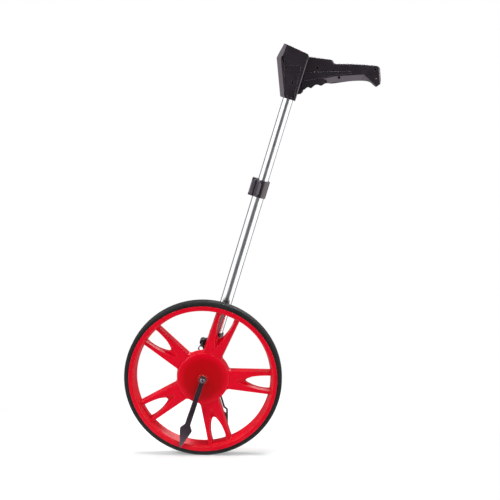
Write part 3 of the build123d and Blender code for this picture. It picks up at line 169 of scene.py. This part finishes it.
# ------------------------------------------------------------------ materials
def moulded(name, dark, light, rough, grain=2600.0, grain_depth=0.10, edge=0.0005, wear_and_highlight=0.55,
            coat=0.0, spec=0.5, seam=False, tint=(1.0, 1.0, 1.0), painted_shade_reach=0.0, painted_groove_shade_at=None):
    """Plastic with eroded grain, faint flow clouds, and edges painted lighter as rubbed wear and
    as painted highlight.

    `painted_shade_reach` is the reach of the shade painted into hollows.
    `painted_groove_shade_at` is the place of one groove painted dark as shade, measured square to
    the pole from the axle.
    """
    look = Look(name)
    mask, normal = look.edges(radius=edge)
    clouds = look.noise(scale=28.0, detail=4.0, rough=0.6, distortion=0.6)
    scuff = look.noise(scale=420.0, detail=5.0, rough=0.7)
    fine = look.noise(scale=grain, detail=2.0, rough=0.5)
    pits = look.cells(scale=grain * 0.6)
    cloudy = lift(dark, gain=1.28, offset=0.002)
    base = look.mix(look.span(clouds, over=(0.35, 0.70)), dark, cloudy)
    # edges painted lighter: part rubbed wear, part painted highlight along the edges
    rub_and_highlight = look.mul(mask, look.span(scuff, over=(0.30, 0.62), to=(0.82, 1.0)))
    base = look.mix(rub_and_highlight, base, light, amount=wear_and_highlight)
    height = look.weighted((fine, 0.6), (pits, 0.4))
    if seam:
        y = look.xyz(look.coords)[1]
        off = look.distance(y, POLE_Y)
        groove = look.span(off, over=(0.00012, 0.00034), to=(1.0, 0.0))
        base = look.mix(groove, base, above=(0.001, 0.001, 0.001), amount=0.8)
        groove_depth = 4.0
        height = look.sub(height, look.mul(groove, groove_depth))
    gloss = look.span(clouds, over=(0.25, 0.75), to=(rough - 0.05, rough + 0.06))
    gloss = look.add(gloss, look.mul(rub_and_highlight, RUB_ROUGHNESS))
    gloss = look.add(gloss, look.span(fine, over=(0.3, 0.7), to=(-0.03, 0.03)))
    # edges shine less than open faces
    calm = look.span(mask, over=(0.0, 1.0), to=(1.0, 0.35))
    spec = look.mul(calm, spec)
    coat = look.mul(calm, coat)
    # painted shade: hollows, and a stripe along the groove, are darkened and lose their shine
    if painted_shade_reach:
        open_face = look.hollow(distance=painted_shade_reach)
        if painted_groove_shade_at is not None:
            x, y, z = look.xyz(look.coords)
            across = look.sub(look.mul(x, math.cos(LEAN)),
                              look.mul(look.sub(z, AXLE_Z), math.sin(LEAN)))
            off = look.distance(across, painted_groove_shade_at)
            beside = look.span(off, over=(0.0014, 0.0026), to=(0.25, 1.0))
            open_face = look.mul(open_face, beside)
        base = look.mix(open_face, (0.0015, 0.0012, 0.0015), base)
        spec = look.mul(open_face, spec)
        coat = look.mul(open_face, coat)
    look.set(Base_Color=base, Roughness=gloss, Coat_Weight=coat, Coat_Roughness=0.12,
             Specular_IOR_Level=spec, Specular_Tint=tint,
             Normal=look.bump(height, strength=grain_depth, distance=0.00010, normal=normal))
    return look.mat


def black_plastic(name, dark=(0.0125, 0.0100, 0.0125), seam=False, rough=0.23,
                  tint=(1.0, 0.86, 1.0)):
    # edges painted lighter, part wear and part painted highlight; hollows get painted shade
    return moulded(name, dark, light=(0.25, 0.22, 0.255), rough=rough, grain=2400.0,
                   grain_depth=0.012, edge=0.0010, wear_and_highlight=0.95, seam=seam, spec=1.0, coat=0.25,
                   tint=tint, painted_shade_reach=0.0035)


def red_plastic(name, dark):
    look = Look(name)
    mask, normal = look.edges(radius=0.0011)
    radius = look.axle_radius()
    clouds = look.noise(scale=16.0, detail=4.0, rough=0.6, distortion=0.8)
    scuff = look.noise(scale=300.0, detail=5.0, rough=0.7)
    fine = look.noise(scale=1500.0, detail=2.0, rough=0.5)
    waves = look.noise(scale=9.0, detail=2.0, rough=0.5, at=look.place())
    base = look.mix(look.span(clouds, over=(0.3, 0.72)), dark, lift(dark, gain=1.08))
    # painted shade: the hub is coloured a darker red than the spokes and rim
    hub = look.span(radius, over=(0.034, 0.052), to=(1.0, 0.0))
    base = look.mix(hub, base, above=(0.475, 0.0002, 0.0040))
    # edges painted pale orange-red: part rubbed wear, part painted highlight
    rub_and_highlight = look.mul(mask, look.span(scuff, over=(0.30, 0.62), to=(0.85, 1.0)))
    base = look.mix(rub_and_highlight, base, above=(1.0, 0.170, 0.135), amount=0.75)
    gloss = look.span(clouds, over=(0.25, 0.75), to=(0.19, 0.27))
    gloss = look.add(gloss, look.span(scuff, over=(0.35, 0.7), to=(-0.02, 0.04)))
    gloss = look.add(gloss, look.mul(rub_and_highlight, RUB_ROUGHNESS))
    height = look.weighted((fine, 0.35), (waves, 1.2))
    look.set(Base_Color=base, Roughness=gloss, Coat_Weight=0.03, Coat_Roughness=0.10,
             Specular_IOR_Level=0.10,
             Normal=look.bump(height, strength=0.045, distance=0.00010, normal=normal))
    return look.mat


def tyre_rubber():
    """Bloomed rubber, dustier on the tread, with fine rings about the axle."""
    look = Look("tyre_rubber")
    ring_rate = 7800.0  # radians per metre of radius
    dark, bloomed = (0.0105, 0.0107, 0.0112), (0.018, 0.018, 0.0190)
    mask, normal = look.edges(radius=0.0006)
    radius = look.axle_radius()
    bloom = look.noise(scale=60.0, detail=5.0, rough=0.65, distortion=0.5)
    fine = look.noise(scale=1800.0, detail=3.0, rough=0.6)
    grit = look.cells(scale=1300.0)
    tread = look.span(radius, over=(0.1562, 0.1586))
    base = look.mix(look.span(bloom, over=(0.30, 0.72)), dark, bloomed)
    dusty = look.span(bloom, over=(0.4, 0.7), to=(0.10, 0.45))
    base = look.mix(tread, base, above=(0.034, 0.032, 0.031), amount=dusty)
    # edges painted lighter grey: part scuffing, part painted highlight
    base = look.mix(mask, base, above=(0.055, 0.055, 0.058), amount=0.30)
    rings = look.math("SINE", look.mul(radius, ring_rate))
    height = look.weighted((fine, 0.8), (rings, 0.10), (grit, 0.5))
    look.set(Base_Color=base, Specular_IOR_Level=0.16,
             Roughness=look.span(bloom, over=(0.25, 0.75), to=(0.48, 0.62)),
             Normal=look.bump(height, strength=0.22, distance=0.00012, normal=normal))
    return look.mat


def drawn_tube():
    """Bright drawn aluminium: die lines and faint handling marks along the tube."""
    look = Look("bright_aluminium")
    dull, bright = (0.80, 0.81, 0.83), (0.90, 0.905, 0.915)
    along_pole = (0, -LEAN, 0)
    mask, normal = look.edges(radius=0.0004)
    lines = look.noise(scale=1.0, detail=5.0, rough=0.7,
                       at=look.place(scale=(1500, 1500, 5), rot=along_pole))
    streak = look.noise(scale=1.0, detail=3.0, rough=0.6,
                        at=look.place(scale=(260, 260, 9), rot=along_pole))
    smudge = look.noise(scale=42.0, detail=4.0, rough=0.6, distortion=1.2)
    base = look.mix(look.span(streak, over=(0.3, 0.7)), dull, bright)
    # edges painted near white: part wear, part painted highlight
    base = look.mix(mask, base, above=(0.97, 0.97, 0.97), amount=0.4)
    gloss = look.span(lines, over=(0.25, 0.75), to=(0.17, 0.26))
    gloss = look.add(gloss, look.span(smudge, over=(0.45, 0.75), to=(0.0, 0.07)))
    look.set(Base_Color=base, Metallic=1.0, Roughness=gloss, Anisotropic=0.2,
             Normal=look.bump(lines, strength=0.02, distance=0.00005, normal=normal))
    return look.mat


def steel(name, dark, light, rough, turned=True, mark=0.12):
    """Clouded metal; `turned` adds machining marks stacked along Y."""
    look = Look(name)
    mask, normal = look.edges(radius=0.0003)
    cloud = look.noise(scale=260.0, detail=4.0, rough=0.6)
    height = look.noise(scale=3200.0, detail=2.0, rough=0.5)
    base = look.mix(look.span(cloud, over=(0.3, 0.7)), dark, light)
    # edges painted lighter: part wear, part painted highlight
    base = look.mix(mask, base, lift(light, gain=1.35), amount=0.5)
    if turned:
        lines = look.noise(scale=1.0, detail=2.0, rough=0.5,
                           at=look.place(scale=(900, 6000, 900)))
        height = look.weighted((lines, 0.7), (height, 0.3))
    look.set(Base_Color=base, Metallic=1.0,
             Roughness=look.span(cloud, over=(0.25, 0.75), to=(rough - 0.06, rough + 0.08)),
             Normal=look.bump(height, strength=mark, distance=0.00005, normal=normal))
    return look.mat


def rubber(name, dark, light, rough):
    look = Look(name)
    mask, normal = look.edges(radius=0.0005)
    bloom = look.noise(scale=130.0, detail=4.0, rough=0.6)
    fine = look.noise(scale=1900.0, detail=3.0, rough=0.6)
    base = look.mix(look.span(bloom, over=(0.3, 0.7)), dark, light)
    # edges painted lighter: part scuffing, part painted highlight
    base = look.mix(mask, base, lift(light, gain=2.2, offset=0.01), amount=0.3)
    look.set(Base_Color=base, Sheen_Weight=0.08,
             Roughness=look.span(fine, over=(0.3, 0.7), to=(rough - 0.05, rough + 0.08)),
             Normal=look.bump(fine, strength=0.25, distance=0.00010, normal=normal))
    return look.mat


def board():
    """Solder mask with copper runs and pads showing through."""
    look = Look("circuit_board_green")
    dark_green, green = (0.008, 0.085, 0.030), (0.012, 0.125, 0.045)
    normal = look.rounded(radius=0.0002)
    borders = look.cells(scale=420.0, feature="DISTANCE_TO_EDGE")
    runs = look.span(borders, over=(0.03, 0.09), to=(1.0, 0.0))
    pads = look.span(look.cells(scale=900.0), over=(0.10, 0.22), to=(1.0, 0.0))
    base = look.mix(look.noise(scale=500.0, detail=3.0, rough=0.6), dark_green, green)
    base = look.mix(runs, base, above=(0.040, 0.30, 0.10), amount=0.7)
    base = look.mix(pads, base, above=(0.75, 0.62, 0.34), amount=0.6)
    height = look.add(runs, pads)
    look.set(Base_Color=base,
             Roughness=look.span(runs, over=(0.0, 1.0), to=(0.30, 0.42)),
             Normal=look.bump(height, strength=0.25, distance=0.00006, normal=normal))
    return look.mat


def battery_sleeve():
    """Blue shrink sleeve with a pale band toward each end, and bare metal ends."""
    look = Look("battery_sleeve_blue")
    dark_blue, blue = (0.020, 0.075, 0.21), (0.030, 0.105, 0.28)
    band_offset = 0.0150  # from the battery's middle
    normal = look.rounded(radius=0.0003)
    x = look.xyz(look.coords)[0]
    side = look.distance(x, BATTERY_X)
    metal = look.span(side, over=(0.0209, 0.0212))
    band = look.span(look.distance(side, band_offset), over=(0.0009, 0.0012), to=(1.0, 0.0))
    wrinkle = look.noise(scale=1.0, detail=3.0, rough=0.6, at=look.place(scale=(240, 900, 900)))
    base = look.mix(look.noise(scale=300.0), dark_blue, blue)
    base = look.mix(band, base, above=(0.72, 0.74, 0.76))
    base = look.mix(metal, base, above=(0.70, 0.70, 0.70))
    look.set(Base_Color=base, Metallic=metal,
             Roughness=look.span(wrinkle, over=(0.3, 0.7), to=(0.22, 0.34)),
             Normal=look.bump(wrinkle, strength=0.10, distance=0.00006, normal=normal))
    return look.mat


def digits(look):
    """Mask of a row of seven-segment zeros along +Y, their tops toward -X.

    A point stands before the last figure.
    """
    count = 5
    pitch = 0.0054
    half_width, half_height = 0.00185, 0.0038
    stroke = 0.0006
    half_gap = 0.00018                  # break between upper and lower segments
    dot_half_width, dot_half_height = 0.00040, 0.00035
    dot_drop = 0.0035                   # below the row's middle

    def within(value, limit):
        return look.math("LESS_THAN", value, limit)

    x, y, z = look.xyz(look.coords)
    along = look.sub(y, POLE_Y)
    up = look.sub(LCD_X, x)
    cell = look.add(look.math("DIVIDE", along, pitch), count / 2)
    in_row = look.mul(look.math("GREATER_THAN", cell, 0.0), within(cell, float(count)))
    in_cell = look.mul(look.sub(look.math("FRACT", cell), 0.5), pitch)
    beside = look.math("ABSOLUTE", in_cell)
    above = look.math("ABSOLUTE", up)
    outer = look.mul(within(beside, half_width), within(above, half_height))
    inner = look.mul(within(beside, half_width - stroke), within(above, half_height - stroke))
    broken = look.math("GREATER_THAN", above, half_gap)
    zeros = look.mul(look.mul(look.sub(outer, inner), broken), in_row)
    dot_along = look.distance(along, (count / 2 - 1) * pitch)
    dot_up = look.math("ABSOLUTE", look.add(up, dot_drop))
    dot = look.mul(within(dot_along, dot_half_width), within(dot_up, dot_half_height))
    return look.math("MAXIMUM", zeros, dot)


def lcd():
    """Grey-green reflective display with a faint grain of lines."""
    look = Look("lcd_film")
    line_rate = 26000.0  # radians per metre along Y
    dull, pale = (0.26, 0.31, 0.23), (0.31, 0.36, 0.27)
    normal = look.rounded(radius=0.0002)
    lines = look.math("SINE", look.mul(look.xyz(look.coords)[1], line_rate))
    base = look.mix(look.noise(scale=90.0), dull, pale)
    faint = look.span(lines, over=(-1.0, 1.0), to=(0.0, 0.12))
    base = look.mix(faint, base, above=(0.17, 0.21, 0.15))
    base = look.mix(digits(look), base, above=(0.020, 0.026, 0.020), amount=0.88)
    gloss = look.span(look.noise(scale=1200.0), over=(0.3, 0.7), to=(0.26, 0.34))
    look.set(Base_Color=base, Roughness=gloss,
             Normal=look.bump(lines, strength=0.03, distance=0.00003, normal=normal))
    return look.mat


def window():
    """Smoked display window: mostly clear, with fine hairline scratches."""
    look = Look("smoked_window")
    smoke, pale_smoke = (0.55, 0.58, 0.56), (0.62, 0.65, 0.62)
    mask, normal = look.edges(radius=0.0003)
    hair = look.noise(scale=1.0, detail=3.0, rough=0.75,
                      at=look.place(scale=(90, 2600, 90), rot=(0.3, 0.2, 0.5)))
    base = look.mix(look.noise(scale=60.0), smoke, pale_smoke)
    # edges painted pale: part wear, part painted highlight
    base = look.mix(mask, base, above=(0.80, 0.82, 0.80), amount=0.7)
    look.set(Base_Color=base, Transmission_Weight=0.92, IOR=1.49,
             Roughness=look.span(hair, over=(0.55, 0.75), to=(0.04, 0.22)),
             Normal=look.bump(hair, strength=0.02, distance=0.00003, normal=normal))
    return look.mat


# material slot of the CAD record: material
slot_looks = {
    "black_plastic": black_plastic("moulded_black"),
    "red_plastic": red_plastic("moulded_red", dark=(0.680, 0.0003, 0.0160)),
    "red_plastic_back": red_plastic("moulded_red_back", dark=(0.690, 0.0004, 0.0160)),
    "tyre": tyre_rubber(),
    "zinc_screw": steel("bright_zinc", (0.50, 0.51, 0.52), (0.66, 0.67, 0.68), rough=0.27),
    "magnet": steel("nickel_magnet", (0.30, 0.30, 0.32), (0.44, 0.44, 0.46), rough=0.30,
                    turned=False),
    "bearing_steel": steel("ground_steel", (0.62, 0.63, 0.65), (0.76, 0.77, 0.79), rough=0.13,
                           mark=0.05),
    "aluminium": steel("machined_aluminium", (0.62, 0.63, 0.65), (0.78, 0.79, 0.80),
                       rough=0.26, mark=0.2),
    "spring_steel": steel("rolled_strip", (0.34, 0.35, 0.36), (0.50, 0.51, 0.52), rough=0.28,
                          turned=False),
    "nylon_cage": moulded("nylon_natural", (0.62, 0.58, 0.48), (0.80, 0.77, 0.68), rough=0.42,
                          grain=2200.0),
    "circuit_board": board(),
    "bright_aluminium": drawn_tube(),
    "grey_plastic": moulded("moulded_lilac_grey", (0.040, 0.036, 0.046), (0.17, 0.16, 0.19),
                            rough=0.30, grain=2400.0, grain_depth=0.14, wear_and_highlight=0.7),
    "cable_black": rubber("cable_jacket", (0.012, 0.012, 0.013), (0.022, 0.022, 0.024),
                          rough=0.42),
    "black_wire": moulded("powder_coat_black", (0.010, 0.010, 0.011), (0.10, 0.10, 0.105),
                          rough=0.34, grain=1500.0, grain_depth=0.30, edge=0.0004),
    "rubber": rubber("dipped_rubber", (0.010, 0.010, 0.011), (0.020, 0.020, 0.021), rough=0.60),
    "dark_screw": steel("black_oxide", (0.012, 0.012, 0.013), (0.024, 0.024, 0.026), rough=0.42),
    "bezel_plastic": moulded("moulded_bezel", (0.016, 0.0155, 0.019), (0.11, 0.105, 0.12),
                             rough=0.30, grain=2800.0, grain_depth=0.12),
    "display_window": window(),
    "lcd_glass": lcd(),
    "switch_plastic": moulded("switch_black", (0.012, 0.012, 0.013), (0.07, 0.07, 0.075),
                              rough=0.40),
    "key_red": rubber("silicone_red", (0.42, 0.008, 0.014), (0.55, 0.014, 0.020), rough=0.48),
    "key_grey": rubber("silicone_grey", (0.15, 0.16, 0.18), (0.21, 0.22, 0.24), rough=0.48),
    "battery_sleeve": battery_sleeve(),
}

# pieces with a material of their own, whatever their slot
shell = black_plastic("moulded_black_shell", seam=True)
piece_looks = {
    "housing_near": shell,
    "housing_far": shell,
    # the lever: painted shade in its hollows and along its finger groove; edges painted lighter
    # as wear and highlight
    "clamp_lever": moulded("moulded_lilac_lever", (0.052, 0.044, 0.058), (0.24, 0.21, 0.26),
                           rough=0.27, grain=2400.0, grain_depth=0.02, edge=0.0009, wear_and_highlight=0.85,
                           spec=0.9, coat=0.15, tint=(1.0, 0.88, 1.0), painted_shade_reach=0.003,
                           painted_groove_shade_at=-0.0128),
    # the collar: painted shade in its hollows; edges painted lighter as wear and highlight
    "clamp_collar": moulded("moulded_black_collar", (0.014, 0.0105, 0.0125),
                            (0.20, 0.165, 0.18), rough=0.22, grain=2400.0, grain_depth=0.02,
                            edge=0.0009, wear_and_highlight=0.85, spec=1.0, coat=0.6,
                            tint=(1.0, 0.80, 0.86), painted_shade_reach=0.003),
    "pointer_screw": steel("dulled_cap_screw", (0.20, 0.175, 0.215), (0.30, 0.265, 0.32),
                           rough=0.30),
    "pointer_arrow": black_plastic("moulded_black_pointer", dark=(0.0100, 0.0058, 0.0090),
                                   rough=0.30, tint=(1.0, 0.74, 0.92)),
}

slots = {part["node"]: part["material_slot"] for part in frame["record"]["subparts"]}
for node, obj in frame["nodes"].items():
    mat = piece_looks.get(node) or slot_looks[slots[node]]
    if not obj.material_slots:
        obj.data.materials.append(mat)
    for slot in obj.material_slots:
        slot.material = mat


# ------------------------------------------------------------------ studio
def floor_paper():
    """White paper that glows outward from the wheel, with the room's dark strips.

    Only glossy rays see the strips, which carry on those of the world.
    """
    look = Look("studio_paper")
    centre_x = 0.05
    fibre = look.noise(scale=900.0, detail=3.0, rough=0.6)
    tone = look.span(look.noise(scale=3.0, detail=2.0), over=(0.3, 0.7))
    base = look.mix(tone, below=(0.90, 0.90, 0.90), above=(0.93, 0.93, 0.93))
    look.set(Base_Color=base, Roughness=0.85, Specular_IOR_Level=0.1,
             Normal=look.bump(fibre, strength=0.05, distance=0.0001))
    x, y, z = look.xyz(look.coords)
    across = look.sub(x, centre_x)
    far = look.length(across, y)
    # angle about Z from -Y, in radians
    angle = look.math("ABSOLUTE", look.math("ARCTAN2", across, look.mul(y, -1.0)))
    strips = look.mul(look.span(angle, over=(0.52, 0.72), to=(0.13, 1.35)),
                      look.span(angle, over=(1.98, 2.26), to=(1.0, 0.16)))
    glossy = look.node("LightPath").outputs["Is Glossy Ray"]
    strength = look.add(look.mul(strips, glossy), look.sub(1.0, glossy))
    glow = look.node("Emission", {0: (1, 1, 1, 1), 1: strength})
    glow_share = look.math("MAXIMUM", look.span(far, over=(0.10, 0.60), to=(0.30, 1.0)), glossy)
    blend = look.node("MixShader", {0: glow_share, 1: look.shader.outputs[0], 2: glow.outputs[0]})
    look.put(look.out.inputs[0], blend.outputs[0])
    return look.mat


def stage_floor():
    cells, size = 24, 12.0
    centre_y = 2.0
    drop = 0.0003  # below z = 0
    bm = bmesh.new()
    rows = [[bm.verts.new(((i / cells - 0.5) * size, (j / cells - 0.5) * size + centre_y, 0.0))
             for i in range(cells + 1)] for j in range(cells + 1)]
    for row, following in zip(rows, rows[1:]):
        for i in range(cells):
            bm.faces.new((row[i], row[i + 1], following[i + 1], following[i]))
    mesh = bpy.data.meshes.new("studio_floor")
    bm.to_mesh(mesh)
    bm.free()
    floor = bpy.data.objects.new("studio_floor", mesh)
    floor.location = (0, 0, -drop)
    bpy.context.scene.collection.objects.link(floor)
    floor.data.materials.append(floor_paper())


def studio_world():
    """White room with dark strips toward -Y and +Y, drawn as dark bands on the tubes."""
    world = bpy.data.worlds.new("studio")
    bpy.context.scene.world = world
    room = Nodes(world)
    path = room.node("LightPath").outputs
    x, y, z = room.xyz(room.node("TexCoord").outputs["Generated"])
    # angle about Z from -Y, as a share of a half turn
    minus_y = room.node("Math", {0: y, 1: -1.0}, operation="MULTIPLY").outputs[0]
    angle = room.node("Math", {0: x, 1: minus_y}, operation="ARCTAN2").outputs[0]
    away = room.node("Math", {0: angle}, operation="ABSOLUTE").outputs[0]
    share = room.node("Math", {0: away, 1: math.pi}, operation="DIVIDE").outputs[0]
    walls = room.node("ValToRGB", {0: share})
    ramp = walls.color_ramp
    ramp.interpolation = "EASE"
    first, last = ramp.elements[0], ramp.elements[1]
    first.position, first.color = 0.06, (0.075, 0.075, 0.080, 1)
    last.position, last.color = 1.0, (0.16, 0.16, 0.165, 1)
    blue_gain = 1.005
    # (share of a half turn, grey level)
    for position, grey in ((0.160, 0.14), (0.215, 0.98), (0.57, 1.0), (0.66, 0.16)):
        ramp.elements.new(position).color = (grey, grey, grey * blue_gain, 1)
    # the ceiling is dimmer than the walls, so faces seen from above stay dark
    lid = room.span(z, over=(0.50, 0.85), to=(1.0, 0.35))
    shade = room.mix(1.0, walls.outputs[0], lid, blend="MULTIPLY")
    strength = room.span(path["Is Glossy Ray"], over=(0.0, 1.0), to=(0.62, 1.30), smooth=False)
    lit = room.node("Background", {0: shade, 1: strength}).outputs[0]
    seen = room.node("Background", {0: (1, 1, 1, 1), 1: 1.0}).outputs[0]
    both = room.node("MixShader", {0: path["Is Camera Ray"], 1: lit, 2: seen})
    room.node("OutputWorld", {0: both.outputs[0]})


def area(name, loc, target, size, power, shine=True):
    """Square area light; without `shine` it is left out of reflections."""
    light = bpy.data.lights.new(name, "AREA")
    light.shape = "RECTANGLE"
    light.size = light.size_y = size
    light.energy = power
    obj = bpy.data.objects.new(name, light)
    obj.location = loc
    obj.rotation_euler = (Vector(target) - Vector(loc)).to_track_quat("-Z", "Y").to_euler()
    obj.visible_glossy = shine
    bpy.context.scene.collection.objects.link(obj)


def studio_camera():
    yaw, pitch = math.radians(-1.72), math.radians(-9.75)
    cam = bpy.data.cameras.new("camera")
    cam.sensor_width = 36.0
    cam.lens = 92.1
    cam.clip_start, cam.clip_end = 0.05, 60.0
    obj = bpy.data.objects.new("camera", cam)
    forward = Vector((math.sin(yaw) * math.cos(pitch), math.cos(yaw) * math.cos(pitch),
                      math.sin(pitch)))
    obj.location = (0.1697, -2.5, 0.8511)
    obj.rotation_euler = forward.to_track_quat("-Z", "Y").to_euler()
    bpy.context.scene.collection.objects.link(obj)
    bpy.context.scene.camera = obj


stage_floor()
studio_world()
area("key", loc=(-2.0, -1.3, 2.0), target=(0.05, 0.0, 0.35), size=0.9, power=40)
area("fill", loc=(2.1, -1.2, 0.9), target=(0.1, 0.0, 0.4), size=0.9, power=12)
area("top", loc=(0.1, 0.1, 2.4), target=(0.1, 0.0, 0.3), size=1.2, power=70, shine=False)
area("rim", loc=(0.7, 1.7, 1.5), target=(0.1, 0.0, 0.4), size=1.0, power=14)
studio_camera()
bpy.context.scene.view_settings.view_transform = "Standard"
